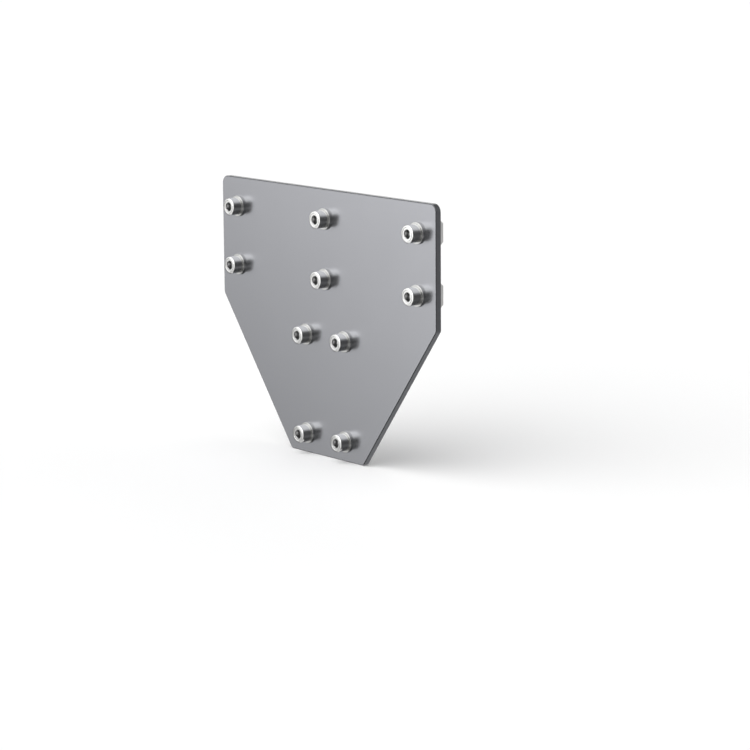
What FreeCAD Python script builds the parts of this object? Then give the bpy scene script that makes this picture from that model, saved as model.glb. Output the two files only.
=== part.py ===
import FreeCAD, Part
import math
import os

import Sketcher
from FreeCAD import Placement, Rotation, Vector

# Flat steel joining plate with the ten screws, washers and slot nuts that fasten it.
# The plate has a wide band across the top and a leg that narrows towards the foot. Six screws in
# two rows go through the band, and four in two columns go through the leg.
#
# Frame: millimetres, +Z up. The plate stands upright with its back face on Y = 0 and its front
# towards -Y. The origin is on the back face, on the centre line, midway between the two upper rows.

# Driving sizes: alias in the sheet, millimetres, and what the size is.
SIZES = [
    ("plate_width", 250.0, "across the band"),
    ("plate_height", 201.5, "top edge to foot edge"),
    ("plate_thickness", 5.0, "sheet the plate is cut from"),
    ("side_height", 91.0, "upright side edges of the band, corner to corner"),
    ("foot_width", 85.0, "foot edge, corner to corner"),
    ("shoulder_radius", 6.0, "corners at the top of the band"),
    ("hip_radius", 4.0, "corners where the band's sides turn into the leg"),
    ("foot_radius", 4.0, "corners at the foot"),
    ("edge_break", 0.4, "chamfer round both faces of the outline"),
    ("hole_play", 0.5, "screw to the plate's holes, each side"),
    ("slot_pitch", 45.0, "between the band's two rows, and between the leg's two columns"),
    ("top_margin", 22.0, "top edge to the upper row"),
    ("arm_margin", 20.0, "side edge to the outer columns"),
    ("leg_pitch", 75.5, "between the two rows in the leg"),
    ("foot_margin", 15.0, "foot edge to the lowest row"),
    ("thread_diameter", 8.0, "outside of the screw thread"),
    ("screw_length", 16.0, "under the head"),
    ("head_diameter", 13.0, "cylindrical screw head"),
    ("head_height", 8.0, "cylindrical screw head"),
    ("head_rim", 0.5, "chamfer between the head's side and its end face"),
    ("key_width", 6.0, "hexagon socket across flats"),
    ("key_depth", 4.0, "hexagon socket below the end face"),
    ("washer_diameter", 16.0, "outside"),
    ("washer_play", 0.2, "screw to the washer's bore, each side"),
    ("washer_thickness", 1.6, "flat washer"),
    ("slot_mouth", 10.0, "mouth of the slot that a nut's neck stands in"),
    ("mouth_play", 0.1, "neck to the mouth's edge, each side"),
    ("grip", 4.5, "back face of the plate to the shoulder of a nut"),
    ("slot_inside", 20.0, "width of the slot behind its mouth"),
    ("inside_play", 0.2, "flank of a nut to the slot's inside, each side"),
    ("neck_relief", 2.3, "back face of the plate to the front of a nut's neck"),
    ("nut_length", 22.0, "along the slot"),
    ("nut_thickness", 5.4, "shoulder of a nut to its back"),
    ("nut_bevel", 3.2, "slope of a nut's back edges"),
    ("thread_play", 0.1, "screw to the nut's plain bore, each side"),
]
SIZE = {alias: value for alias, value, _ in SIZES}

# Places worked out from the driving sizes, as the document's own expressions.
UPPER_ROW = "Sizes.slot_pitch / 2"
LOWER_ROW = "-Sizes.slot_pitch / 2"
FOOT_ROW = "Sizes.slot_pitch / 2 + Sizes.top_margin - Sizes.plate_height + Sizes.foot_margin"
KNEE_ROW = FOOT_ROW + " + Sizes.leg_pitch"
OUTER_LEFT = "Sizes.arm_margin - Sizes.plate_width / 2"
OUTER_RIGHT = "Sizes.plate_width / 2 - Sizes.arm_margin"
INNER_LEFT = "-Sizes.slot_pitch / 2"
INNER_RIGHT = "Sizes.slot_pitch / 2"
MIDDLE = "0"

# What fits round the screw, and the neck that stands in the slot's mouth without reaching the plate.
HOLE_DIAMETER = "Sizes.thread_diameter + 2 * Sizes.hole_play"
WASHER_BORE = "Sizes.thread_diameter + 2 * Sizes.washer_play"
NUT_BORE = "Sizes.thread_diameter + 2 * Sizes.thread_play"
NECK_HEIGHT = "Sizes.grip - Sizes.neck_relief"

# Every screw's place: its name, X, Z, and the slot that its nut runs in.
STATIONS = [
    ("upper_left", OUTER_LEFT, UPPER_ROW, "upper_row"),
    ("upper_middle", MIDDLE, UPPER_ROW, "upper_row"),
    ("upper_right", OUTER_RIGHT, UPPER_ROW, "upper_row"),
    ("lower_left", OUTER_LEFT, LOWER_ROW, "lower_row"),
    ("lower_middle", MIDDLE, LOWER_ROW, "lower_row"),
    ("lower_right", OUTER_RIGHT, LOWER_ROW, "lower_row"),
    ("knee_left", INNER_LEFT, KNEE_ROW, "left_leg"),
    ("knee_right", INNER_RIGHT, KNEE_ROW, "right_leg"),
    ("foot_left", INNER_LEFT, FOOT_ROW, "left_leg"),
    ("foot_right", INNER_RIGHT, FOOT_ROW, "right_leg"),
]

# A fastener is drawn with its own +Z along its axis towards the head. This turn points it at -Y.
FACING_FRONT = Rotation(Vector(1, 0, 0), 90)
# A nut is drawn with its length along its own X. This turn stands it up for a slot in the leg.
UPRIGHT = Rotation(Vector(0, 0, 1), 90)
UPRIGHT_SLOTS = ("left_leg", "right_leg")

# Sketcher's numbers for the origin, the horizontal axis and the vertical axis of a sketch, and for
# the start, the end and the centre of a piece of its geometry.
ORIGIN, H_AXIS, V_AXIS = -1, -1, -2
START, END, CENTRE = 1, 2, 3
NEAR = 1e-7


def make_sheet(doc):
    """Write the driving sizes into the document's sheet, one row each."""
    sheet = doc.addObject("Spreadsheet::Sheet", "Sizes")
    for row, (alias, value, meaning) in enumerate(SIZES, start=1):
        sheet.set(f"A{row}", alias)
        sheet.set(f"B{row}", str(value))
        sheet.set(f"C{row}", meaning)
        sheet.setAlias(f"B{row}", alias)
    doc.recompute()


def new_body(doc, label):
    """An empty body with its own label."""
    body = doc.addObject("PartDesign::Body", label)
    body.Label = label
    return body


def place(body, x, y, z, rotation):
    """Turn a body, and bind its place to the sheet by three expressions."""
    body.Placement = Placement(Vector(0, 0, 0), rotation)
    body.setExpression("Placement.Base.x", x)
    body.setExpression("Placement.Base.y", y)
    body.setExpression("Placement.Base.z", z)


def new_sketch(body, name, plane_role, height=None):
    """A sketch on one of the body's own planes, lifted off it by an expression if one is given."""
    sketch = body.newObject("Sketcher::SketchObject", name)
    plane = next(f for f in body.Origin.OriginFeatures if f.Role == plane_role)
    sketch.AttachmentSupport = [(plane, "")]
    sketch.MapMode = "FlatFace"
    if height:
        sketch.setExpression("AttachmentOffset.Base.z", height)
    return sketch


def bind(sketch, kind, *where_and_value, to):
    """Add a dimension at its starting value, and bind it to an expression."""
    index = sketch.addConstraint(Sketcher.Constraint(kind, *where_and_value))
    sketch.setExpression(f"Constraints[{index}]", to)


def draw_loop(sketch, corners, free=()):
    """Join the corners by lines into a closed loop, and keep its level and upright lines so.

    The lines numbered in free get no such rule, because a mirror rule already keeps them level.
    """
    ends = corners[1:] + corners[:1]
    for (x0, y0), (x1, y1) in zip(corners, ends):
        line = sketch.addGeometry(Part.LineSegment(Vector(x0, y0, 0), Vector(x1, y1, 0)))
        if line in free:
            continue
        if abs(y1 - y0) < NEAR:
            sketch.addConstraint(Sketcher.Constraint("Horizontal", line))
        elif abs(x1 - x0) < NEAR:
            sketch.addConstraint(Sketcher.Constraint("Vertical", line))
    for line in range(len(corners)):
        following = (line + 1) % len(corners)
        sketch.addConstraint(Sketcher.Constraint("Coincident", line, END, following, START))


def draw_centred_circle(sketch, diameter, formula, is_guide=False):
    """Draw a circle round the sketch's origin, bind its diameter, and give the circle's number."""
    circle = sketch.addGeometry(Part.Circle(Vector(0, 0, 0), Vector(0, 0, 1), diameter / 2), is_guide)
    sketch.addConstraint(Sketcher.Constraint("Coincident", circle, CENTRE, ORIGIN, START))
    bind(sketch, "Diameter", circle, diameter, to=formula)
    return circle


def feature(body, kind, name, profile=None, **settings):
    """Add a feature, with its sketch if it has one and its plain settings."""
    added = body.newObject("PartDesign::" + kind, name)
    if profile:
        added.Profile = profile
        profile.Visibility = False
    for key, value in settings.items():
        setattr(added, key, value)
    return added


def dress(body, kind, name, size_property, size, is_wanted):
    """Fillet or chamfer the edges of the body's last feature that is_wanted picks out."""
    body.Document.recompute()
    base = body.Tip
    edges = [f"Edge{n}" for n, edge in enumerate(base.Shape.Edges, start=1) if is_wanted(edge)]
    if not edges:
        raise ValueError(f"{body.Label}: {name} finds no edge")
    added = feature(body, kind, name, Base=(base, edges))
    added.setExpression(size_property, size)


def is_circle_at(edge, radius, height):
    """Is this edge a full circle of the given radius, at the given height along its body's Z?"""
    if not isinstance(edge.Curve, Part.Circle) or not edge.isClosed():
        return False
    return abs(edge.Curve.Radius - radius) < NEAR and abs(edge.Curve.Center.z - height) < NEAR


def joining_plate(doc):
    """The plate: a padded outline with rounded corners, ten holes and a broken edge all round."""
    body = new_body(doc, "joining_plate")

    # The outline runs clockwise from the top left corner. Its two halves mirror each other.
    outline = new_sketch(body, "PlateOutline", "XZ_Plane")
    half_width = SIZE["plate_width"] / 2
    half_foot = SIZE["foot_width"] / 2
    top = SIZE["slot_pitch"] / 2 + SIZE["top_margin"]
    hip = top - SIZE["side_height"]
    foot = top - SIZE["plate_height"]
    top_line, right_side, foot_line, left_side = 0, 1, 3, 5
    draw_loop(outline, [
        (-half_width, top), (half_width, top), (half_width, hip),
        (half_foot, foot), (-half_foot, foot), (-half_width, hip),
    ], free=(top_line, foot_line))
    outline.addConstraint(Sketcher.Constraint("Symmetric", top_line, START, top_line, END, V_AXIS))
    outline.addConstraint(Sketcher.Constraint("Symmetric", foot_line, START, foot_line, END, V_AXIS))
    outline.addConstraint(Sketcher.Constraint("Equal", right_side, left_side))
    bind(outline, "DistanceX", top_line, START, top_line, END, 2 * half_width, to="Sizes.plate_width")
    bind(outline, "DistanceX", foot_line, END, foot_line, START, 2 * half_foot, to="Sizes.foot_width")
    bind(outline, "DistanceY", right_side, END, right_side, START, top - hip, to="Sizes.side_height")
    bind(outline, "DistanceY", foot_line, START, top_line, END, top - foot, to="Sizes.plate_height")
    bind(outline, "DistanceY", ORIGIN, START, top_line, START, top,
         to="Sizes.slot_pitch / 2 + Sizes.top_margin")
    sheet_metal = feature(body, "Pad", "Sheet", outline)
    sheet_metal.setExpression("Length", "Sizes.plate_thickness")

    # The corners are the outline's edges along Y, told apart by where they stand.
    def corner_at(x, z):
        return lambda edge: (
            abs(edge.Vertexes[0].Y - edge.Vertexes[-1].Y) > NEAR
            and all(abs(abs(v.X) - x) < NEAR and abs(v.Z - z) < NEAR for v in edge.Vertexes)
        )

    dress(body, "Fillet", "Shoulders", "Radius", "Sizes.shoulder_radius", corner_at(half_width, top))
    dress(body, "Fillet", "Hips", "Radius", "Sizes.hip_radius", corner_at(half_width, hip))
    dress(body, "Fillet", "FootCorners", "Radius", "Sizes.foot_radius", corner_at(half_foot, foot))

    # Both faces' whole outline is broken before the holes are cut, so no hole's edge is picked.
    dress(body, "Chamfer", "EdgeBreak", "Size", "Sizes.edge_break",
          lambda edge: len({round(v.Y, 6) for v in edge.Vertexes}) == 1)

    holes = new_sketch(body, "HoleCentres", "XZ_Plane")
    radius = SIZE["thread_diameter"] / 2 + SIZE["hole_play"]
    for name, x, z, _ in STATIONS:
        hole = holes.addGeometry(Part.Circle(Vector(*start_place(name), 0), Vector(0, 0, 1), radius))
        if hole:
            holes.addConstraint(Sketcher.Constraint("Equal", 0, hole))
        else:
            bind(holes, "Diameter", hole, 2 * radius, to=HOLE_DIAMETER)
        if x == MIDDLE:
            holes.addConstraint(Sketcher.Constraint("PointOnObject", hole, CENTRE, V_AXIS))
        else:
            bind(holes, "DistanceX", ORIGIN, START, hole, CENTRE, start_place(name)[0], to=x)
        bind(holes, "DistanceY", ORIGIN, START, hole, CENTRE, start_place(name)[1], to=z)
    feature(body, "Pocket", "Holes", holes, Type="ThroughAll", Reversed=True)
    return body


def start_place(station):
    """A station's X and Z at the starting sizes, from which its sketch settles."""
    column = {
        "left": SIZE["arm_margin"] - SIZE["plate_width"] / 2,
        "middle": 0.0,
        "right": SIZE["plate_width"] / 2 - SIZE["arm_margin"],
    }
    foot_row = SIZE["slot_pitch"] / 2 + SIZE["top_margin"] - SIZE["plate_height"] + SIZE["foot_margin"]
    rows = {
        "upper": SIZE["slot_pitch"] / 2,
        "lower": -SIZE["slot_pitch"] / 2,
        "knee": foot_row + SIZE["leg_pitch"],
        "foot": foot_row,
    }
    row, side = station.split("_")
    if row in ("knee", "foot"):
        column = {"left": -SIZE["slot_pitch"] / 2, "right": SIZE["slot_pitch"] / 2}
    return column[side], rows[row]


def cap_screw(doc, station, x, z):
    """A cap screw: turned head and shank, a chamfered rim and a hexagon socket."""
    body = new_body(doc, "cap_screw_" + station)
    head = SIZE["head_diameter"] / 2
    shank = SIZE["thread_diameter"] / 2
    top = SIZE["head_height"]
    tip = -SIZE["screw_length"]

    # Half section from the axis at the end face, out over the head and down the shank to the tip.
    section = new_sketch(body, "ScrewSection", "XZ_Plane")
    draw_loop(section, [(0, top), (head, top), (head, 0), (shank, 0), (shank, tip), (0, tip)])
    face, side, seat, thread, tip_line, axis = range(6)
    section.addConstraint(Sketcher.Constraint("PointOnObject", axis, START, V_AXIS))
    section.addConstraint(Sketcher.Constraint("PointOnObject", seat, START, H_AXIS))
    bind(section, "DistanceX", face, START, face, END, head, to="Sizes.head_diameter / 2")
    bind(section, "DistanceY", side, END, side, START, top, to="Sizes.head_height")
    bind(section, "DistanceY", thread, END, thread, START, -tip, to="Sizes.screw_length")
    bind(section, "DistanceX", tip_line, END, tip_line, START, shank, to="Sizes.thread_diameter / 2")
    feature(body, "Revolution", "Turned", section, ReferenceAxis=(section, ["V_Axis"]), Angle=360)

    dress(body, "Chamfer", "Rim", "Size", "Sizes.head_rim", lambda e: is_circle_at(e, head, top))

    # The hexagon's corners lie on a guide circle, one of them straight up.
    hexagon = new_sketch(body, "KeyHexagon", "XY_Plane", "Sizes.head_height")
    corner = SIZE["key_width"] / 2 / math.cos(math.radians(30))
    turns = [math.radians(90 + 60 * n) for n in range(6)]
    draw_loop(hexagon, [(corner * math.cos(a), corner * math.sin(a)) for a in turns])
    guide = draw_centred_circle(hexagon, 2 * corner, "Sizes.key_width / cos(30 deg)", is_guide=True)
    for line in range(6):
        hexagon.addConstraint(Sketcher.Constraint("PointOnObject", line, START, guide))
    for line in (0, 2, 3, 4):
        hexagon.addConstraint(Sketcher.Constraint("Equal", 1, line))
    socket = feature(body, "Pocket", "Socket", hexagon, Type="Length")
    socket.setExpression("Length", "Sizes.key_depth")

    place(body, x, "-Sizes.plate_thickness - Sizes.washer_thickness", z, FACING_FRONT)
    return body


def washer(doc, station, x, z):
    """A flat washer between the plate and the head."""
    body = new_body(doc, "washer_" + station)
    ring = new_sketch(body, "Ring", "XY_Plane")
    bore = SIZE["thread_diameter"] + 2 * SIZE["washer_play"]
    for diameter, formula in ((SIZE["washer_diameter"], "Sizes.washer_diameter"), (bore, WASHER_BORE)):
        draw_centred_circle(ring, diameter, formula)
    disc = feature(body, "Pad", "Disc", ring)
    disc.setExpression("Length", "Sizes.washer_thickness")
    place(body, x, "-Sizes.plate_thickness", z, FACING_FRONT)
    return body


def slot_nut(doc, station, x, z, slot):
    """A slot nut: a T section along the slot, its neck towards the plate and its back edges sloped."""
    body = new_body(doc, "slot_nut_" + station)
    neck = SIZE["slot_mouth"] / 2 - SIZE["mouth_play"]
    flank = SIZE["slot_inside"] / 2 - SIZE["inside_play"]
    front = SIZE["grip"] - SIZE["neck_relief"]
    back = -SIZE["nut_thickness"]
    bevel = SIZE["nut_bevel"]

    # The shoulders, which the screw pulls towards the plate, lie on the body's own Z = 0.
    section = new_sketch(body, "NutSection", "YZ_Plane")
    front_line, neck_right, right_shoulder, right_flank, right_slope, back_line = range(6)
    left_flank, left_shoulder = 7, 8
    draw_loop(section, [
        (-neck, front), (neck, front), (neck, 0), (flank, 0), (flank, back + bevel),
        (flank - bevel, back), (bevel - flank, back), (-flank, back + bevel), (-flank, 0), (-neck, 0),
    ], free=(front_line, back_line))
    mirrored = [(front_line, front_line), (back_line, back_line), (right_flank, left_flank)]
    for right, left in mirrored:
        section.addConstraint(Sketcher.Constraint("Symmetric", right, END, left, START, V_AXIS))
    section.addConstraint(Sketcher.Constraint("PointOnObject", right_shoulder, START, H_AXIS))
    section.addConstraint(Sketcher.Constraint("PointOnObject", left_shoulder, START, H_AXIS))
    bind(section, "DistanceX", front_line, START, front_line, END, 2 * neck,
         to="Sizes.slot_mouth - 2 * Sizes.mouth_play")
    bind(section, "DistanceX", left_flank, START, right_flank, END, 2 * flank,
         to="Sizes.slot_inside - 2 * Sizes.inside_play")
    bind(section, "DistanceY", neck_right, END, neck_right, START, front, to=NECK_HEIGHT)
    bind(section, "DistanceY", right_slope, END, right_shoulder, END, -back, to="Sizes.nut_thickness")
    bind(section, "DistanceX", right_slope, END, right_slope, START, bevel, to="Sizes.nut_bevel")
    bind(section, "DistanceY", right_slope, END, right_slope, START, bevel, to="Sizes.nut_bevel")
    block = feature(body, "Pad", "Block", section, SideType="Symmetric")
    block.setExpression("Length", "Sizes.nut_length")

    mouth = new_sketch(body, "BoreCircle", "XY_Plane")
    draw_centred_circle(mouth, SIZE["thread_diameter"] + 2 * SIZE["thread_play"], NUT_BORE)
    feature(body, "Pocket", "Bore", mouth, Type="ThroughAll", Midplane=True)

    turn = FACING_FRONT * UPRIGHT if slot in UPRIGHT_SLOTS else FACING_FRONT
    place(body, x, "Sizes.grip", z, turn)
    return body


def gather(doc, label, bodies):
    """Several loose pieces as one labelled compound, each where its own body has it."""
    compound = doc.addObject("Part::Compound", label)
    compound.Label = label
    compound.Links = bodies
    return compound


def check(doc, sub_parts):
    """Stop on a failed or loose object, an invalid shape, or a cut that cuts nothing."""
    for thing in doc.Objects:
        if "Invalid" in thing.State or "Error" in thing.State:
            raise RuntimeError(f"{thing.Label} failed: {thing.State}")
        if thing.isDerivedFrom("Sketcher::SketchObject") and not thing.FullyConstrained:
            raise RuntimeError(f"{thing.Label} of {thing.getParentGeoFeatureGroup().Label} is loose")
        if thing.TypeId == "PartDesign::Pocket":
            if thing.Shape.Volume >= thing.BaseFeature.Shape.Volume - NEAR:
                raise RuntimeError(f"{thing.Label} cuts nothing")
        if thing.TypeId == "PartDesign::Body" and len(thing.Shape.Solids) != 1:
            raise RuntimeError(f"{thing.Label} isn't one solid")
    for sub_part in sub_parts:
        if sub_part.Shape.isNull() or not sub_part.Shape.isValid():
            raise RuntimeError(f"{sub_part.Label} has no valid shape")


def main():
    """Build every piece, check the document and write each sub-part to its own file.

    The washers, and the nuts of each slot, are one sub-part, and every other piece is its own.
    """
    os.makedirs("parts", exist_ok=True)
    doc = FreeCAD.newDocument("JoiningPlate")
    make_sheet(doc)
    sub_parts = [joining_plate(doc)]
    washers = []
    nuts = {}
    for station, x, z, slot in STATIONS:
        sub_parts.append(cap_screw(doc, station, x, z))
        washers.append(washer(doc, station, x, z))
        nuts.setdefault(slot, []).append(slot_nut(doc, station, x, z, slot))
    sub_parts.append(gather(doc, "washers", washers))
    for slot, slot_nuts in nuts.items():
        sub_parts.append(gather(doc, "slot_nuts_" + slot, slot_nuts))
    doc.recompute()
    check(doc, sub_parts)
    for sub_part in sub_parts:
        shape = sub_part.Shape
        shape.exportStep(f"parts/{sub_part.Label}.step")
        box = shape.BoundBox
        print(f"{sub_part.Label:24s} {len(shape.Solids):2d} solids {shape.Volume:10.1f} mm3  "
              f"X {box.XMin:8.2f} {box.XMax:8.2f}  Y {box.YMin:7.2f} {box.YMax:7.2f}  "
              f"Z {box.ZMin:8.2f} {box.ZMax:8.2f}")


main()
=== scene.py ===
"""The looks of a flat steel joining plate with its ten cap screws, washers and slot nuts.

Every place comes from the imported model, in metres, with +Z up and the plate's front towards -Y.
Each shape is a surface worked out with numpy, and each finish is a procedural metal.
"""
import logging
import math
from dataclasses import dataclass
from enum import Enum

import bmesh
import bpy
import numpy as np
from mathutils import Matrix, Vector
from mathutils.geometry import tessellate_polygon


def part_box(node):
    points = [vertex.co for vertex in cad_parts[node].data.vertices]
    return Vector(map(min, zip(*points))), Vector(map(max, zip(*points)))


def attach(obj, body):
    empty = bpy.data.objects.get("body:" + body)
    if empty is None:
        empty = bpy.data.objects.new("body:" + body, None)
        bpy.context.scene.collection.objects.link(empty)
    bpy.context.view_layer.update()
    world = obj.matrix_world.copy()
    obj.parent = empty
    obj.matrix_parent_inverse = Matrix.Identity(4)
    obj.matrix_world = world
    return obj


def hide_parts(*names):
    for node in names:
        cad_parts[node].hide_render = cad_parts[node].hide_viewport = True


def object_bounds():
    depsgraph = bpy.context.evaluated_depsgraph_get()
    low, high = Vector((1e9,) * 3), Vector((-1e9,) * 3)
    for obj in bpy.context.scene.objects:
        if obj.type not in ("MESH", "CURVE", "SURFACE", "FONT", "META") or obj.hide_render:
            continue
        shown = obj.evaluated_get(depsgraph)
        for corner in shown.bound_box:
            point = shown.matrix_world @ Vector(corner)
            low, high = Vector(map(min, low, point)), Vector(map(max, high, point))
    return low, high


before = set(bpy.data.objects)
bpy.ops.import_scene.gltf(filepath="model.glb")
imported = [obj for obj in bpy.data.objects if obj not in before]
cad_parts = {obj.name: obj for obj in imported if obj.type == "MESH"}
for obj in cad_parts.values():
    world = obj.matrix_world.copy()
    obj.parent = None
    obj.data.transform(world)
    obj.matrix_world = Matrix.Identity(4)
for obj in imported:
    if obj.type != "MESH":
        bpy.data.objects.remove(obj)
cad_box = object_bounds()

log = logging.getLogger("joining_plate")

MM = 0.001                          # in metres, like every length here
TURN = 2 * math.pi
QUARTER = math.pi / 2
WELD = 0.001 * MM                   # points closer than this become one
SHARP = math.radians(32)            # faces that meet at more than this keep a hard edge
EDGE_STEPS = 4                      # rows on a rounding of a few tenths of a millimetre
SECTION_STEPS = 5                   # points on each corner of a washer's or a nut's section
PHOTO_SIDE = 750                    # in pixels
SENSOR = 36.0                       # width of the camera's sensor, in its own millimetres
BODY = "root"
PLATE_NODE = "joining_plate"
WASHER_NODE = "washers"
OUTER_SCREW = "cap_screw_upper_right"


class Slot(Enum):
    """The record's material slots."""

    PLATE = "plate_steel"
    SCREW = "screw_steel"
    WASHER = "washer_steel"
    NUT = "nut_steel"


class Row(Enum):
    """The four rows of slot nuts, each named by its node."""

    UPPER = "slot_nuts_upper_row"
    LOWER = "slot_nuts_lower_row"
    LEFT_LEG = "slot_nuts_left_leg"
    RIGHT_LEG = "slot_nuts_right_leg"

    @property
    def upright(self) -> bool:
        """Whether the row stands upright, on the leg."""
        return self in (Row.LEFT_LEG, Row.RIGHT_LEG)


# Shapes


@dataclass(frozen=True)
class Axes:
    """A place with three axes of its own.

    Attributes:
        origin: The local origin, in metres.
        across: Unit vector of the first local coordinate.
        upward: Unit vector of the second one.
        forward: Unit vector of the third one.
    """

    origin: tuple[float, float, float]
    across: tuple[float, float, float]
    upward: tuple[float, float, float]
    forward: tuple[float, float, float]

    def place(self, a: np.ndarray, b: np.ndarray, c: np.ndarray) -> np.ndarray:
        """Turn local coordinates into points: origin + a * across + b * upward + c * forward.

        Args:
            a: First coordinates, of any shape that fits the other two.
            b: Second coordinates.
            c: Third coordinates.

        Returns:
            The points, with a last axis of three.
        """
        basis = np.array([self.across, self.upward, self.forward])
        return np.array(self.origin) + np.stack(np.broadcast_arrays(a, b, c), axis=-1) @ basis


class Shell:
    """A closed surface, gathered patch by patch and then welded into one mesh."""

    def __init__(self) -> None:
        """Start with no patch."""
        self.points: list[np.ndarray] = []
        self.faces: list[list[int]] = []
        self.paints: list[int] = []
        self.count = 0

    def add(self, points: np.ndarray, faces: np.ndarray, paint: int = 0) -> None:
        """Add points and the faces between them.

        Args:
            points: Array of n by 3.
            faces: Rows of numbers of those points, three or four each.
            paint: Which of the piece's materials the faces take.
        """
        self.points.append(points)
        self.faces += (faces + self.count).tolist()
        self.paints += [paint] * len(faces)
        self.count += len(points)

    def add_grid(self, points: np.ndarray, paint: int = 0, loop: bool = False,
                 keep: np.ndarray | None = None) -> None:
        """Add a grid of quads whose columns close into rings.

        Args:
            points: Array of rows by columns by 3.
            paint: Which of the piece's materials the quads take.
            loop: Whether the last row also joins the first one.
            keep: Which quads stay, as a truth table of row gaps by columns. All of them if None.
        """
        rows, columns = points.shape[:2]
        index = np.arange(rows * columns).reshape(rows, columns)
        index = np.concatenate([index, index[:, :1]], axis=1)
        if loop:
            index = np.concatenate([index, index[:1]], axis=0)
        quads = np.stack([index[:-1, :-1], index[:-1, 1:], index[1:, 1:], index[1:, :-1]], axis=-1)
        chosen = quads.reshape(-1, 4) if keep is None else quads[keep]
        self.add(points.reshape(-1, 3), chosen, paint)

    def add_sheet(self, *loops: np.ndarray) -> None:
        """Add a flat face in the first material, between an outer loop and the holes in it.

        Args:
            *loops: Arrays of n by 3, the outer loop first.
        """
        triangles = tessellate_polygon([loop.tolist() for loop in loops])
        self.add(np.concatenate(loops), np.array(triangles))

    def piece(self, name: str, finishes: list[bpy.types.Material],
              node: str) -> bpy.types.Object:
        """Weld the patches into a closed mesh and make it a piece of the object.

        Args:
            name: The piece's name.
            finishes: Its materials, in the order of the patches' paint numbers.
            node: The node that it stands for.

        Returns:
            The piece, at the origin, with its place in its mesh.
        """
        mesh = bpy.data.meshes.new(name)
        mesh.from_pydata(np.concatenate(self.points).tolist(), [], self.faces)
        mesh.polygons.foreach_set("material_index", np.array(self.paints, dtype=np.int32))
        weld = bmesh.new()
        weld.from_mesh(mesh)
        bmesh.ops.remove_doubles(weld, verts=weld.verts, dist=WELD)
        bmesh.ops.recalc_face_normals(weld, faces=weld.faces)
        open_edges = sum(not edge.is_manifold for edge in weld.edges)
        weld.to_mesh(mesh)
        weld.free()
        if open_edges:
            log.warning("%s has %d open edges", name, open_edges)
        mesh.shade_smooth()
        mesh.set_sharp_from_angle(angle=SHARP)
        for finish in finishes:
            mesh.materials.append(finish)
        made = bpy.data.objects.new(name, mesh)
        bpy.context.scene.collection.objects.link(made)
        shading = made.modifiers.new("Flat faces stay flat", "WEIGHTED_NORMAL")
        shading.mode = "FACE_AREA"
        shading.keep_sharp = True
        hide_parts(node)
        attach(made, BODY)
        return made


def rounded_outline(corners: np.ndarray, radii: np.ndarray, steps: int) -> tuple[np.ndarray, np.ndarray]:
    """Round the corners of a polygon that runs counterclockwise.

    An arc's centre lies at corner - t * d - s * r * n, where d is the direction into the corner,
    n its outward normal, r the radius, s the sign of the turn and t = r * tan(turn / 2). The arc
    is centre + s * r * n, as n turns from the first side's normal to the second's.

    Args:
        corners: Array of n by 2.
        radii: The radius at each corner.
        steps: Points on each arc.

    Returns:
        The outline's points and its outward normals, each n * steps by 2.
    """
    into = corners - np.roll(corners, 1, axis=0)
    heading = np.arctan2(into[:, 1], into[:, 0])
    turn = (np.roll(heading, -1) - heading + math.pi) % TURN - math.pi
    angle = heading[:, None] - QUARTER + turn[:, None] * np.linspace(0, 1, steps)
    normals = np.stack([np.cos(angle), np.sin(angle)], axis=-1)
    direction = np.stack([np.cos(heading), np.sin(heading)], axis=-1)
    reach = (np.sign(turn) * radii)[:, None]
    centres = corners - (radii * np.tan(np.abs(turn) / 2))[:, None] * direction - reach * normals[:, 0]
    points = centres[:, None] + reach[:, None] * normals
    return points.reshape(-1, 2), normals.reshape(-1, 2)


def rounded_corner(radius: float, steps: int) -> tuple[np.ndarray, np.ndarray]:
    """Rows of a quarter circle between a face and a side.

    At an angle a from the face's normal they lie r * (1 - sin a) in from the side, and
    r * (1 - cos a) under the face.

    Args:
        radius: Its radius r.
        steps: How many rows.

    Returns:
        Their distances in from the side and under the face, from the face on.
    """
    angle = np.linspace(0, QUARTER, steps)
    return radius * (1 - np.sin(angle)), radius * (1 - np.cos(angle))


def broken_corner(width: float, radius: float, steps: int) -> tuple[np.ndarray, np.ndarray]:
    """Rows of a chamfer of 45 degrees between a face and a side, with both its edges rounded.

    The face's edge is an arc that starts r * tan(22.5 degrees) before it and turns by 45 degrees.
    At an angle a it lies r * sin a past its start and r * (1 - cos a) under the face. The side's
    edge is the same arc mirrored across the chamfer.

    Args:
        width: Width of the chamfer, along the face.
        radius: Radius r of its edges.
        steps: Rows on each edge.

    Returns:
        Their distances in from the side and under the face, from the face on.
    """
    angle = np.linspace(0, QUARTER / 2, steps)
    along = width + radius * math.tan(QUARTER / 4) - radius * np.sin(angle)
    across = radius * (1 - np.cos(angle))
    return np.concatenate([along, across[::-1]]), np.concatenate([across, along[::-1]])


def wall_rows(low: float, high: float,
              corner: tuple[np.ndarray, np.ndarray]) -> tuple[np.ndarray, np.ndarray]:
    """Rows of a wall that has the same corner at both its ends.

    Args:
        low: Height of one end.
        high: Height of the other.
        corner: The corner's rows, as distances in from the wall and from the end.

    Returns:
        The insets and the heights of the rows, from low to high.
    """
    inset, rise = corner
    return np.concatenate([inset, inset[::-1]]), np.concatenate([low + rise, high - rise[::-1]])


def prism(axes: Axes, outline: np.ndarray, normals: np.ndarray, insets: np.ndarray,
          heights: np.ndarray) -> np.ndarray:
    """Carry an outline along the third axis, moved inwards along its normals row by row.

    Args:
        axes: The prism's place.
        outline: Its points, n by 2.
        normals: Their outward normals.
        insets: How far each row moves inwards.
        heights: Each row's height.

    Returns:
        A grid of rows by points by 3: outline - inset * normal, at the row's height.
    """
    flat = outline[None] - insets[:, None, None] * normals[None]
    return axes.place(flat[..., 0], flat[..., 1], heights[:, None])


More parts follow.
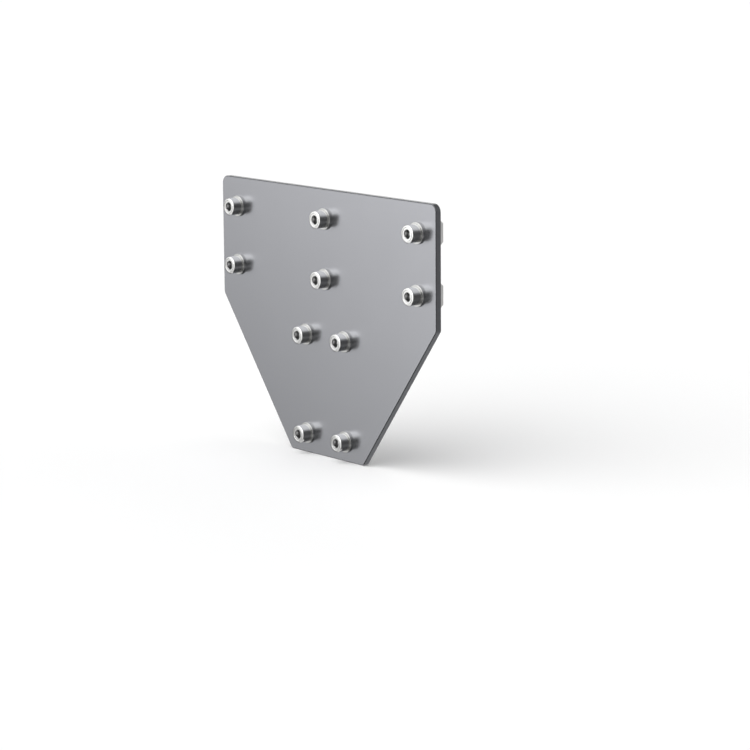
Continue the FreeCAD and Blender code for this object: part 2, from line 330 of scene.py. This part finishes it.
def turned(axes: Axes, radii: np.ndarray, heights: np.ndarray, columns: int) -> np.ndarray:
    """Turn a profile round the third axis.

    Args:
        axes: The turned piece's place.
        radii: Radius of each row, or of each row and column.
        heights: Height of each row, or of each row and column.
        columns: How many columns make the turn. The first one stands straight up.

    Returns:
        A grid of rows by columns by 3: radius * (cos, sin) of the column's angle, and the height.
    """
    angle = QUARTER + TURN * np.arange(columns) / columns
    radii = radii.reshape(len(radii), -1)
    heights = heights.reshape(len(heights), -1)
    return axes.place(radii * np.cos(angle), radii * np.sin(angle), heights)


# Finishes


def linear(hex_colour: str) -> tuple[float, float, float, float]:
    """Turn an sRGB hex colour into the linear one that a shader takes.

    Args:
        hex_colour: Six hex digits after a hash sign.

    Returns:
        Red, green, blue and an alpha of one.
    """
    srgb = np.array([int(hex_colour[i:i + 2], 16) for i in (1, 3, 5)]) / 255
    value = np.where(srgb <= 0.04045, srgb / 12.92, ((srgb + 0.055) / 1.055) ** 2.4)
    return (*value.tolist(), 1.0)


def add_node(tree: bpy.types.NodeTree, kind: str, inputs: dict[str | int, object],
             **settings: object) -> bpy.types.Node:
    """Add a node with its settings and its links.

    Args:
        tree: The node tree.
        kind: The node's type name.
        inputs: Socket names or numbers, each with a value or the output socket that feeds it.
        **settings: The node's own properties.

    Returns:
        The node.
    """
    node = tree.nodes.new(kind)
    for key, value in settings.items():
        setattr(node, key, value)
    for key, value in inputs.items():
        socket = node.inputs[key]
        if isinstance(value, bpy.types.NodeSocket):
            tree.links.new(value, socket)
        else:
            socket.default_value = value
    return node


@dataclass(frozen=True)
class MetalFinish:
    """A bare or plated metal surface, as a procedural material.

    Attributes:
        name: The material's name.
        colour: Its sRGB colour.
        shade: The sRGB colour that its faint clouds lean to.
        roughness: Its mean roughness.
        spread: How far the clouds move the roughness.
        cloud: Size of the clouds, in millimetres.
        grain: Size of the surface's grain along X, Y and Z, in millimetres.
        depth: Depth of that grain, in millimetres.
    """

    name: str
    colour: str
    shade: str
    roughness: float
    spread: float
    cloud: float
    grain: tuple[float, float, float]
    depth: float

    def material(self) -> bpy.types.Material:
        """Build the material: colour and roughness drift with soft clouds of noise, over a fine grain.

        Returns:
            The material.
        """
        made = bpy.data.materials.new(self.name)
        made.use_nodes = True
        tree = made.node_tree
        place = add_node(tree, "ShaderNodeTexCoord", {}).outputs["Object"]
        noise = add_node(tree, "ShaderNodeTexNoise", {
            "Vector": place, "Scale": 1 / (self.cloud * MM), "Detail": 3.0, "Roughness": 0.55})
        clouds = noise.outputs["Fac"]
        colour = add_node(tree, "ShaderNodeMix", {
            "Factor": clouds, "A": linear(self.colour), "B": linear(self.shade)}, data_type="RGBA")
        rough = add_node(tree, "ShaderNodeMapRange", {
            "Value": clouds, "To Min": self.roughness - self.spread,
            "To Max": self.roughness + self.spread})
        stretched = add_node(tree, "ShaderNodeMapping", {
            "Vector": place, "Scale": tuple(1 / (size * MM) for size in self.grain)})
        grain = add_node(tree, "ShaderNodeTexNoise", {
            "Vector": stretched.outputs["Vector"], "Scale": 1.0, "Detail": 2.0, "Roughness": 0.5})
        bump = add_node(tree, "ShaderNodeBump", {
            "Height": grain.outputs["Fac"], "Distance": self.depth * MM, "Strength": 1.0})
        shader = tree.nodes["Principled BSDF"]
        shader.inputs["Metallic"].default_value = 1.0
        tree.links.new(colour.outputs["Result"], shader.inputs["Base Color"])
        tree.links.new(rough.outputs["Result"], shader.inputs["Roughness"])
        tree.links.new(bump.outputs["Normal"], shader.inputs["Normal"])
        return made


class Palette:
    """Every finish on the object, built once and shared."""

    def __init__(self) -> None:
        """Build the materials."""
        # Satin steel sheet, tumbled after cutting: an even mid grey that blurs what it mirrors. The
        # media's marks, a few hundredths of a millimetre, are drawn ten times as coarse to show at all.
        self.sheet = MetalFinish("Satin steel sheet", "#A4A5A9", "#A0A1A5", 0.25, 0.01, 45.0,
                                 (0.5, 0.5, 0.5), 0.0006).material()
        # The sheet's rims, ground to a fine chamfer: a thin line, coloured darker than the face that it
        # bounds as painted shade.
        # The grit's scratches are drawn coarser than they are.
        self.rim = MetalFinish("Steel chamfer darkened as painted shade", "#6E6F72", "#646568", 0.24, 0.02, 6.0,
                               (0.3, 0.3, 0.3), 0.002).material()
        # The laser-cut edge: a darker oxide skin, with fine ridges that run from face to face.
        self.cut_edge = MetalFinish("Laser-cut steel edge", "#68696C", "#5A5B5E", 0.36, 0.06, 5.0,
                                    (0.3, 4.0, 0.3), 0.01).material()
        # Bright zinc plating on a cold-headed screw: near white where it mirrors the light, with faint
        # lines across its axis that are drawn coarser than they are.
        self.screw = MetalFinish("Bright zinc plating", "#E6E6E5", "#DFDFDE", 0.14, 0.02, 3.0,
                                 (6.0, 0.4, 6.0), 0.0004).material()
        # The same plating in the punched socket and in the sheared tip's hollow end, a little duller, and
        # darker as painted shade in those hollows, with faint marks along the punch's stroke.
        self.zinc_with_painted_shade = MetalFinish("Zinc plating darkened as painted shade", "#B0B0B0", "#9C9C9C", 0.22, 0.05, 1.2,
                                     (0.4, 2.0, 0.4), 0.003).material()
        # Zinc plating on a stamped washer, scuffed in the barrel: a little duller than the screws. The
        # scuffs are drawn as wide as they need to show.
        self.washer = MetalFinish("Stamped zinc plating", "#C6C6C5", "#BDBDBC", 0.25, 0.02, 2.5,
                                  (0.6, 0.6, 0.6), 0.0006).material()
        # Zinc plating over bar drawn along X: soft grey, with the die's fine lines along the bar.
        self.row_bar = MetalFinish("Drawn bar with zinc plating", "#CFCFCE", "#C0C0BF", 0.32, 0.04, 5.0,
                                   (8.0, 0.22, 0.22), 0.006).material()
        # The same bar stood upright, so its lines run along Z.
        self.leg_bar = MetalFinish("Drawn bar with zinc plating, upright", "#CFCFCE", "#C0C0BF", 0.32,
                                   0.04, 5.0, (0.22, 0.22, 8.0), 0.006).material()


# The plate


@dataclass
class JoiningPlate:
    """The sheet metal plate: a wide band, and a leg that narrows to the foot.

    Attributes:
        palette: The finishes.
        holes: Centres of its holes, as X and Z.
        side_height: Upright side edges of the band.
        foot_width: Foot edge, corner to corner.
        shoulder: Corner radius at the top of the band.
        hip: Corner radius where the sides turn into the leg, and at the foot.
        hole_radius: Radius of a clearance hole.
        rim: Width of the chamfer round both faces.
        rim_edge: Radius of the chamfer's edges.
        hole_edge: Radius of a hole's edges.
        corner_steps: Points on each corner of the outline.
        hole_columns: Columns of a hole.
    """

    palette: Palette
    holes: np.ndarray
    side_height: float = 91.0 * MM
    foot_width: float = 85.0 * MM
    shoulder: float = 6.0 * MM
    hip: float = 4.0 * MM
    hole_radius: float = 4.5 * MM
    rim: float = 0.4 * MM
    rim_edge: float = 0.15 * MM
    hole_edge: float = 0.2 * MM
    corner_steps: int = 14
    hole_columns: int = 64

    def outline(self) -> tuple[np.ndarray, np.ndarray]:
        """The plate's outline, seen from the front, with its corners rounded.

        Returns:
            Its points as X and Z, and their outward normals.
        """
        low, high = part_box(PLATE_NODE)
        hip_z = high.z - self.side_height
        foot = self.foot_width / 2
        corners = np.array([(low.x, high.z), (low.x, hip_z), (-foot, low.z), (foot, low.z),
                            (high.x, hip_z), (high.x, high.z)])
        radii = np.array([self.shoulder, self.hip, self.hip, self.hip, self.hip, self.shoulder])
        return rounded_outline(corners, radii, self.corner_steps)

    def through(self, x: float, z: float) -> Axes:
        """Axes that look through the sheet from the front, with their origin at an X and a Z."""
        return Axes((x, 0, z), (1, 0, 0), (0, 0, 1), (0, 1, 0))

    def build(self) -> bpy.types.Object:
        """Make the plate: its outline carried through its thickness, ten bores and two flat faces.

        Returns:
            The piece that stands for the plate's node.
        """
        low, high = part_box(PLATE_NODE)
        outline, normals = self.outline()
        insets, depths = wall_rows(low.y, high.y, broken_corner(self.rim, self.rim_edge, EDGE_STEPS))
        wall = prism(self.through(0, 0), outline, normals, insets, depths)
        half = len(wall) // 2
        shell = Shell()
        # The chamfers take the second finish, whose darker colour is painted shade along the plate's
        # edges.
        shell.add_grid(wall[:half], paint=1)
        shell.add_grid(wall[half - 1:half + 1], paint=2)
        shell.add_grid(wall[half:], paint=1)
        grow, depths = wall_rows(low.y, high.y, rounded_corner(self.hole_edge, EDGE_STEPS))
        bores = [turned(self.through(x, z), self.hole_radius + grow, depths, self.hole_columns)
                 for x, z in self.holes]
        for bore in bores:
            shell.add_grid(bore, paint=2)
        shell.add_sheet(wall[0], *(bore[0] for bore in bores))
        shell.add_sheet(wall[-1], *(bore[-1] for bore in bores))
        finishes = [self.palette.sheet, self.palette.rim, self.palette.cut_edge]
        return shell.piece("plate", finishes, PLATE_NODE)


# The fasteners


@dataclass(frozen=True)
class Station:
    """One screw's place in the plate.

    Attributes:
        name: The place's name, such as upper_left.
        row: The row that its nut runs in.
    """

    name: str
    row: Row

    @property
    def screw_node(self) -> str:
        """The screw's node."""
        return f"cap_screw_{self.name}"

    def axes(self, y: float) -> Axes:
        """Axes on the screw's own, with the third one towards the front.

        Args:
            y: Where along Y their origin lies.

        Returns:
            The axes.
        """
        low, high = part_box(self.screw_node)
        return Axes(((low.x + high.x) / 2, y, (low.z + high.z) / 2), (1, 0, 0), (0, 0, 1), (0, -1, 0))


def seat_level() -> float:
    """The Y of the washers' front faces, on which the heads sit."""
    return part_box(WASHER_NODE)[0].y


def past_outer_screw(node: str) -> float:
    """How far a node reaches in X past the axis of the screw at the band's right end."""
    low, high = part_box(OUTER_SCREW)
    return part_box(node)[1].x - (low.x + high.x) / 2


@dataclass(frozen=True)
class ThreadForm:
    """A 60 degree metric thread.

    Attributes:
        major: Its outside radius.
        pitch: Its advance in one turn.
        depth: Its depth, root to crest, as a share of the pitch.
        crest: Width of the flat crest, as a share of the pitch.
        root: Width of the flat root, as a share of the pitch.
        rows: Rows of the mesh in one pitch.
    """

    major: float = 4.0 * MM
    pitch: float = 1.25 * MM
    depth: float = 0.6134
    crest: float = 0.125
    root: float = 0.25
    rows: int = 12

    def radius(self, heights: np.ndarray, columns: int) -> np.ndarray:
        """The flank's radius, the same for a screw and for its nut.

        The tooth is a triangle wave of height / pitch - angle / turn, cut flat at crest and root.

        Args:
            heights: Height of each row.
            columns: How many columns make the turn.

        Returns:
            Radii of rows by columns.
        """
        phase = heights[:, None] / self.pitch - np.arange(columns) / columns
        wave = 1 - 2 * np.abs(phase % 1 - 0.5)
        tooth = np.clip((wave - self.root) / (1 - self.root - self.crest), 0, 1)
        return self.major - self.depth * self.pitch * (1 - tooth)

    def heights(self, low: float, high: float) -> np.ndarray:
        """Rows that lie close enough to draw every tooth.

        Args:
            low: Where the thread starts.
            high: Where it ends.

        Returns:
            Heights from low to high.
        """
        return np.linspace(low, high, round((high - low) / self.pitch * self.rows) + 1)


@dataclass
class CapScrew:
    """A socket cap screw: one turned surface from the socket's drill point to the shank's tip.

    Attributes:
        station: Its place.
        palette: The finishes.
        thread: Its thread.
        columns: Columns of the surface, a multiple of six for the hexagon.
        rim: Width of the chamfer round the head's end.
        rim_edge: Radius of the chamfer's edges.
        groove: Radius of the fine ring that the forging die leaves on the end face.
        groove_depth: Depth of that ring.
        key_width: The hexagon, across its flats.
        key_depth: Its depth.
        drill_share: Width of the drill point at the hexagon's bottom, as a share of the hexagon.
        drill_slope: Slope of the drill point's cone.
        mouth: Radius of the cone at the hexagon's mouth.
        mouth_slope: How fast that cone narrows with depth.
        foot: Radius of the head's lower edge.
        fillet: Radius under the head.
        thread_start: Plain shank under the head.
        tip: Height and width of the cone at the tip.
        dish: Depth of the hollow in the tip's end.
        dish_share: Width of that hollow, as a share of the end.
    """

    station: Station
    palette: Palette
    thread: ThreadForm = ThreadForm()
    columns: int = 96
    rim: float = 0.3 * MM
    rim_edge: float = 0.1 * MM
    groove: float = 5.0 * MM
    groove_depth: float = 0.18 * MM
    key_width: float = 6.0 * MM
    key_depth: float = 4.0 * MM
    drill_share: float = 0.9
    drill_slope: float = math.radians(30)
    mouth: float = 3.5 * MM
    mouth_slope: float = 1.0
    foot: float = 0.4 * MM
    fillet: float = 0.3 * MM
    thread_start: float = 0.9 * MM
    tip: float = 0.9 * MM
    dish: float = 0.25 * MM
    dish_share: float = 0.85

    def hexagon(self) -> np.ndarray:
        """Radius of the socket's wall in each column, with corners straight up and down.

        Returns:
            Half the key width over the cosine of the angle from the middle of a flat.
        """
        sixth = TURN / 6
        off_corner = np.arange(self.columns) * TURN / self.columns % sixth
        return self.key_width / 2 / np.cos(off_corner - sixth / 2)

    def socket_rows(self, top: float) -> list[tuple[np.ndarray, np.ndarray]]:
        """The socket, from its drill point to its mouth.

        The wall is the hexagon. The mouth's cone cuts it where the cone's radius, mouth - slope *
        depth, is the hexagon's own, so the cone reaches deepest in the middle of a flat.

        Args:
            top: Height of the head's end face.

        Returns:
            Radii and heights, row by row.
        """
        hexagon = self.hexagon()
        floor = top - self.key_depth
        drill = self.key_width / 2 * self.drill_share
        rise = drill * math.tan(self.drill_slope)
        meet = top - (self.mouth - hexagon) / self.mouth_slope
        point = [(share * drill, floor - rise + share * rise) for share in (0.0, 0.5, 1.0)]
        wall = [(hexagon, floor + share * (meet - floor)) for share in (0.0, 0.5, 1.0)]
        cone = [(hexagon + share * (self.mouth - hexagon), meet + share * (top - meet))
                for share in (0.5, 1.0)]
        return point + wall + cone

    def head_rows(self, top: float) -> list[tuple[float, float]]:
        """The outside of the head, from the ring on its end face to the neck under it.

        Args:
            top: Height of the head's end face.

        Returns:
            Radii and heights, row by row.
        """
        low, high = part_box(self.station.screw_node)
        head = (high.x - low.x) / 2
        over, down = broken_corner(self.rim, self.rim_edge, EDGE_STEPS)
        under, up = rounded_corner(self.foot, EDGE_STEPS)
        ring = [(self.groove - self.groove_depth, top), (self.groove, top - self.groove_depth),
                (self.groove + self.groove_depth, top)]
        shoulder = zip(head - over, top - down)
        foot = zip(head - under[::-1], up[::-1])
        neck = [(self.thread.major + self.fillet, 0.0), (self.thread.major, -self.fillet)]
        return [*ring, *shoulder, *foot, *neck]

    def shank_rows(self, tip: float) -> list[tuple[np.ndarray, float]]:
        """The threaded shank: the smaller of the thread's radius and the tip's cone.

        Args:
            tip: Height of the tip, below nought.

        Returns:
            Radii and heights, row by row.
        """
        heights = self.thread.heights(tip, -self.thread_start)[::-1]
        cone = self.thread.major - self.tip + heights - tip
        return [*zip(np.minimum(self.thread.radius(heights, self.columns), cone[:, None]), heights)]

    def end_rows(self, tip: float) -> list[tuple[float, float]]:
        """The hollow in the tip's end: its depth falls with the square of the radius.

        Args:
            tip: Height of the tip.

        Returns:
            Radii and heights, row by row, to the pole.
        """
        share = np.linspace(1, 0, 6)
        radii = self.dish_share * (self.thread.major - self.tip) * share
        return [*zip(radii, tip + self.dish * (1 - share ** 2))]

    def build(self) -> bpy.types.Object:
        """Make the screw.

        Returns:
            The piece that stands for the screw's node.
        """
        low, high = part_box(self.station.screw_node)
        seat = seat_level()
        socket = self.socket_rows(seat - low.y)
        outside = [*self.head_rows(seat - low.y), *self.shank_rows(seat - high.y)]
        rows = [*socket, *outside, *self.end_rows(seat - high.y)]
        radii = np.stack([np.broadcast_to(radius, self.columns) for radius, _ in rows])
        heights = np.stack([np.broadcast_to(height, self.columns) for _, height in rows])
        points = turned(self.station.axes(seat), radii, heights, self.columns)
        start = len(socket)
        end = start + len(outside)
        shell = Shell()
        # The socket and the tip's hollow end take the second finish, whose darker colour is painted
        # shade.
        shell.add_grid(points[:start], paint=1)
        shell.add_grid(points[start - 1:end])
        shell.add_grid(points[end - 1:], paint=1)
        finishes = [self.palette.screw, self.palette.zinc_with_painted_shade]
        return shell.piece(f"screw_{self.station.name}", finishes, self.station.screw_node)


@dataclass
class FlatWasher:
    """A flat washer: a rectangle with rounded corners, turned round the screw's axis.

    Attributes:
        station: Its place.
        palette: The finishes.
        bore: Radius of its hole.
        edge: Radius of the edges round its front, which the punch rounded.
        burr: Radius of the edges round its back.
        columns: Columns of the surface.
    """

    station: Station
    palette: Palette
    bore: float = 4.2 * MM
    edge: float = 0.16 * MM
    burr: float = 0.08 * MM
    columns: int = 96

    def build(self) -> bpy.types.Object:
        """Make the washer.

        Returns:
            The piece that stands for this washer in the washers' node.
        """
        low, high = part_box(WASHER_NODE)
        outside = past_outer_screw(WASHER_NODE)
        thickness = high.y - low.y
        corners = np.array([(self.bore, thickness), (self.bore, 0), (outside, 0), (outside, thickness)])
        radii = np.array([self.edge, self.burr, self.burr, self.edge])
        profile, _ = rounded_outline(corners, radii, SECTION_STEPS)
        ring = turned(self.station.axes(high.y), profile[:, 0], profile[:, 1], self.columns)
        shell = Shell()
        shell.add_grid(ring, loop=True)
        finishes = [self.palette.washer]
        return shell.piece(f"washer_{self.station.name}", finishes, WASHER_NODE)


@dataclass
class SlotNut:
    """A slot nut: a T section carried along its row, with a threaded bore through it.

    Attributes:
        station: Its place.
        palette: The finishes.
        thread: Its thread.
        thread_gap: Play between its thread and the screw's.
        bore_mouth: Width of the chamfer at both ends of the bore.
        neck_width: Width of the neck, across the row.
        neck_height: Height of the neck over the shoulders.
        bevel: Width of the bevels along its back.
        edge: Radius of its long edges.
        end_edge: Radius of its ends' edges.
        columns: Columns of the bore.
    """

    station: Station
    palette: Palette
    thread: ThreadForm = ThreadForm()
    thread_gap: float = 0.06 * MM
    bore_mouth: float = 0.6 * MM
    neck_width: float = 9.8 * MM
    neck_height: float = 2.2 * MM
    bevel: float = 3.2 * MM
    edge: float = 0.35 * MM
    end_edge: float = 0.2 * MM
    columns: int = 96

    def shoulder(self) -> float:
        """The Y of the shoulders, beside the neck."""
        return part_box(self.station.row.value)[0].y + self.neck_height

    def section_axes(self) -> Axes:
        """Axes of the T section: across the row, towards the neck, and along the row.

        Returns:
            The axes, with their origin on the screw's own, level with the shoulders.
        """
        x, y, z = self.station.axes(self.shoulder()).origin
        if self.station.row.upright:
            return Axes((x, y, z), (1, 0, 0), (0, -1, 0), (0, 0, 1))
        return Axes((x, y, z), (0, 0, 1), (0, -1, 0), (1, 0, 0))

    def section(self) -> np.ndarray:
        """Corners of the T section, counterclockwise, from the neck's end.

        Returns:
            Ten corners, whose first two bound the neck's end and whose sixth and seventh the back.
        """
        low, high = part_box(self.station.row.value)
        flank = (high.x - low.x if self.station.row.upright else high.z - low.z) / 2
        neck = self.neck_width / 2
        front = self.neck_height
        back = self.shoulder() - high.y
        bevel = self.bevel
        return np.array([
            (neck, front), (-neck, front), (-neck, 0), (-flank, 0), (-flank, back + bevel),
            (-flank + bevel, back), (flank - bevel, back), (flank, back + bevel), (flank, 0), (neck, 0)])

    def bore(self, back: float, front: float) -> np.ndarray:
        """The threaded bore: the larger of the thread's radius and the chamfer at each mouth.

        Args:
            back: Height of the nut's back over its shoulders, below nought.
            front: Height of its neck's end.

        Returns:
            A grid of rows by columns by 3, from back to front.
        """
        rows = self.thread.heights(back, front)
        along_screw = rows + seat_level() - self.shoulder()
        flank = self.thread.radius(along_screw, self.columns) + self.thread_gap
        cone = self.thread.major + self.bore_mouth - np.minimum(rows - back, front - rows)
        radii = np.maximum(flank, cone[:, None])
        return turned(self.station.axes(self.shoulder()), radii, rows, self.columns)

    def build(self) -> bpy.types.Object:
        """Make the nut.

        The neck's end and the back are left out of the wall, and drawn as flat sheets with the bore
        in them. Each is the quad that follows the last point of its first corner, on the row gap in
        the middle of the wall.

        Returns:
            The piece that stands for this nut in its row's node.
        """
        corners = self.section()
        outline, normals = rounded_outline(corners, np.full(len(corners), self.edge), SECTION_STEPS)
        half_length = past_outer_screw(Row.UPPER.value)
        insets, heights = wall_rows(-half_length, half_length, rounded_corner(self.end_edge, EDGE_STEPS))
        wall = prism(self.section_axes(), outline, normals, insets, heights)
        middle = len(heights) // 2 - 1
        front_edge = SECTION_STEPS - 1
        back_edge = 6 * SECTION_STEPS - 1
        keep = np.ones((len(heights) - 1, len(outline)), dtype=bool)
        keep[middle, [front_edge, back_edge]] = False
        bore = self.bore(corners[5, 1], corners[0, 1])
        shell = Shell()
        shell.add_grid(wall, keep=keep)
        shell.add_grid(bore)
        shell.add_sheet(wall[0])
        shell.add_sheet(wall[-1])
        for edge, ring in ((front_edge, bore[-1]), (back_edge, bore[0])):
            around = wall[[middle, middle, middle + 1, middle + 1], [edge, edge + 1, edge + 1, edge]]
            shell.add_sheet(around, ring)
        finish = self.palette.leg_bar if self.station.row.upright else self.palette.row_bar
        return shell.piece(f"nut_{self.station.name}", [finish], self.station.row.value)


# The studio


@dataclass(frozen=True)
class SoftBox:
    """A large soft light, as a bright patch of the studio round the object.

    Attributes:
        azimuth: Its direction, in degrees from the front towards the right.
        elevation: Its height over the horizon, in degrees.
        inner: Half angle of its even middle, in degrees.
        outer: Half angle where its soft edge ends.
        strength: Its brightness.
    """

    azimuth: float
    elevation: float
    inner: float
    outer: float
    strength: float

    def direction(self) -> tuple[float, float, float]:
        """Which way the light lies.

        Returns:
            The unit vector from the object to the light.
        """
        azimuth, elevation = math.radians(self.azimuth), math.radians(self.elevation)
        return (math.sin(azimuth) * math.cos(elevation), -math.cos(azimuth) * math.cos(elevation),
                math.sin(elevation))


@dataclass
class Studio:
    """The plain floor, the soft light and the camera.

    Attributes:
        floor_colour: The floor's sRGB colour.
        floor_side: Length of its sides.
        backdrop: Brightness of the plain wall that is seen past the floor.
        fill: Brightness of the room outside the soft boxes.
        soft_boxes: Two in front give the plate's face its tones, one overhead lights the floor, and
            the others light the sides that are turned away from the camera.
        azimuth: The camera's direction from the target, in degrees from the front towards the right.
        elevation: Its height over the horizon, in degrees.
        roll: Its turn about its own line of sight, in degrees.
        distance: From the target to the camera.
        target: The point that the camera looks at.
        focal_pixels: Its focal length, in pixels of the photo.
    """

    floor_colour: str = "#FAFAFA"
    floor_side: float = 16.0
    backdrop: float = 0.96
    fill: float = 0.075
    soft_boxes: tuple[SoftBox, ...] = (
        SoftBox(-18.3, 30.0, 40, 56.6, 1.495),      # high in front
        SoftBox(-8.9, 6.2, 13.4, 59.6, 0.874),      # level in front
        SoftBox(0, 90, 8, 32, 2.0),                 # overhead
        SoftBox(-134, 14, 10, 34, 1.3),             # behind, on the left
        SoftBox(158, 10, 25, 58, 0.75),             # behind, on the right
        SoftBox(180, -50, 15, 50, 0.9),             # low behind
        SoftBox(80, -42, 8, 34, 0.7),               # low on the right
        SoftBox(76, -26, 6, 24, 0.8),               # on the right, a little higher
        SoftBox(-62, -70, 8, 25, 0.9),              # under the left front
    )
    azimuth: float = 50.2279
    elevation: float = 10.7038
    roll: float = -0.4033
    distance: float = 2.030885
    target: tuple[float, float, float] = (0.051007, 0.0, -0.088159)
    focal_pixels: float = 2773.38

    def floor(self) -> None:
        """Lay the floor level with the plate's foot edge."""
        half = self.floor_side / 2
        level = cad_box[0].z
        corners = [(x * half, y * half, level) for x, y in ((-1, -1), (1, -1), (1, 1), (-1, 1))]
        mesh = bpy.data.meshes.new("floor")
        mesh.from_pydata(corners, [], [(0, 1, 2, 3)])
        # Matt white paint, which shows soft shadows and no shine.
        paint = bpy.data.materials.new("Matt white paint")
        paint.use_nodes = True
        shader = paint.node_tree.nodes["Principled BSDF"]
        shader.inputs["Base Color"].default_value = linear(self.floor_colour)
        shader.inputs["Roughness"].default_value = 0.9
        shader.inputs["Specular IOR Level"].default_value = 0.2
        mesh.materials.append(paint)
        made = bpy.data.objects.new("floor", mesh)
        made.visible_glossy = False
        bpy.context.scene.collection.objects.link(made)

    def light(self) -> None:
        """Fill the room with soft light, where each box adds a smooth step of the cosine from its middle.

        The camera sees the plain backdrop instead.
        """
        world = bpy.data.worlds.new("Studio")
        world.use_nodes = True
        bpy.context.scene.world = world
        tree = world.node_tree
        tree.nodes.clear()
        direction = add_node(tree, "ShaderNodeTexCoord", {}).outputs["Generated"]
        total: float | bpy.types.NodeSocket = self.fill
        for box in self.soft_boxes:
            facing = add_node(tree, "ShaderNodeVectorMath", {0: direction, 1: box.direction()},
                              operation="DOT_PRODUCT")
            patch = add_node(tree, "ShaderNodeMapRange", {
                "Value": facing.outputs["Value"], "From Min": math.cos(math.radians(box.outer)),
                "From Max": math.cos(math.radians(box.inner)), "To Min": 0.0, "To Max": box.strength},
                interpolation_type="SMOOTHSTEP")
            added = add_node(tree, "ShaderNodeMath", {0: total, 1: patch.outputs["Result"]},
                             operation="ADD")
            total = added.outputs["Value"]
        white = linear("#FFFFFF")
        lit = add_node(tree, "ShaderNodeBackground", {"Color": white, "Strength": total})
        wall = add_node(tree, "ShaderNodeBackground", {"Color": white, "Strength": self.backdrop})
        seen = add_node(tree, "ShaderNodeLightPath", {}).outputs["Is Camera Ray"]
        mix = add_node(tree, "ShaderNodeMixShader", {
            0: seen, 1: lit.outputs["Background"], 2: wall.outputs["Background"]})
        add_node(tree, "ShaderNodeOutputWorld", {"Surface": mix.outputs["Shader"]})

    def camera(self) -> None:
        """Set the camera at the photo's place and angle."""
        azimuth, elevation, roll = (math.radians(a) for a in (self.azimuth, self.elevation, self.roll))
        back = Vector((math.sin(azimuth) * math.cos(elevation), -math.cos(azimuth) * math.cos(elevation),
                       math.sin(elevation)))
        level = Vector((math.cos(azimuth), math.sin(azimuth), 0))
        upward = back.cross(level)
        right = level * math.cos(roll) + upward * math.sin(roll)
        up = upward * math.cos(roll) - level * math.sin(roll)
        data = bpy.data.cameras.new("camera")
        data.sensor_width = SENSOR
        data.lens = SENSOR * self.focal_pixels / PHOTO_SIDE
        data.clip_start = 0.05
        data.clip_end = 50.0
        made = bpy.data.objects.new("camera", data)
        turn = Matrix((right, up, back)).transposed().to_4x4()
        made.matrix_world = Matrix.Translation(Vector(self.target) + back * self.distance) @ turn
        bpy.context.scene.collection.objects.link(made)
        bpy.context.scene.camera = made

    def build(self) -> None:
        """Set up the whole studio."""
        self.floor()
        self.light()
        self.camera()
        bpy.context.scene.view_settings.view_transform = "Standard"


STATIONS = (
    Station("upper_left", Row.UPPER),
    Station("upper_middle", Row.UPPER),
    Station("upper_right", Row.UPPER),
    Station("lower_left", Row.LOWER),
    Station("lower_middle", Row.LOWER),
    Station("lower_right", Row.LOWER),
    Station("knee_left", Row.LEFT_LEG),
    Station("knee_right", Row.RIGHT_LEG),
    Station("foot_left", Row.LEFT_LEG),
    Station("foot_right", Row.RIGHT_LEG),
)


def main() -> None:
    """Build the studio, the plate and every fastener."""
    logging.basicConfig(level=logging.INFO, format="%(name)s: %(message)s")
    Studio().build()
    palette = Palette()
    holes = np.array([station.axes(0.0).origin for station in STATIONS])[:, [0, 2]]
    parts: list[JoiningPlate | CapScrew | FlatWasher | SlotNut] = [JoiningPlate(palette, holes)]
    for station in STATIONS:
        parts += [CapScrew(station, palette), FlatWasher(station, palette), SlotNut(station, palette)]
    for part in parts:
        made = part.build()
        log.info("%s: %d faces", made.name, len(made.data.polygons))


if __name__ == "__main__":
    main()
